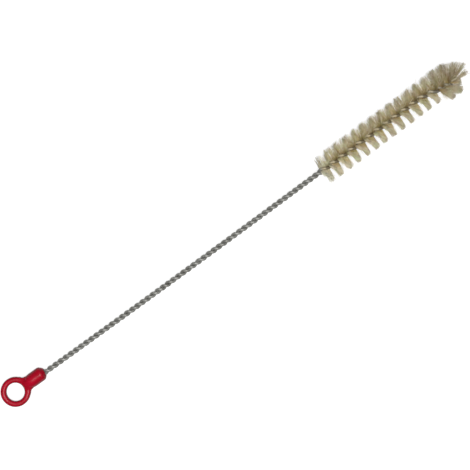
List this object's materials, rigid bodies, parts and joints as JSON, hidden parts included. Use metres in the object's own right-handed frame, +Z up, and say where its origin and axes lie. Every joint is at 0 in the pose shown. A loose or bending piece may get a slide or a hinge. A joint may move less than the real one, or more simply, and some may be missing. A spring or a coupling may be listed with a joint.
{
  "type": "test tube brush",
  "caption": "Twisted-wire test tube brush with a band of natural bristles, a fanned tip and a moulded hanging ring.",
  "frame": {"origin": "on the table under the middle of the brush's box, as it lies at rest", "axes": "+X along the brush from the hanging ring to the bristled tip, +Z up from the table; the ring's hole faces up"},
  "size_m": [0.3043, 0.0195, 0.0173],
  "materials": {
    "ring_plastic": "glossy crimson moulded plastic",
    "wire_steel": "drawn galvanised steel wire, slightly dull",
    "bristle": "natural hog bristle, straw and grey, translucent at the ends",
    "tip_bristle": "natural hog bristle, untrimmed at the tip"
  },
  "bodies": {
    "root": {"handle_ring": "ring_plastic", "twisted_wire": "wire_steel", "bristle_tuft_01": "bristle", "bristle_tuft_02": "bristle", "bristle_tuft_03": "bristle", "bristle_tuft_04": "bristle", "bristle_tuft_05": "bristle", "bristle_tuft_06": "bristle", "bristle_tuft_07": "bristle", "bristle_tuft_08": "bristle", "bristle_tuft_09": "bristle", "bristle_tuft_10": "bristle", "bristle_tuft_11": "bristle", "bristle_tuft_12": "bristle", "bristle_tuft_13": "bristle", "tip_tuft_01": "tip_bristle", "tip_tuft_02": "tip_bristle", "fold_tuft": "tip_bristle"}
  },
  "joints": []
}
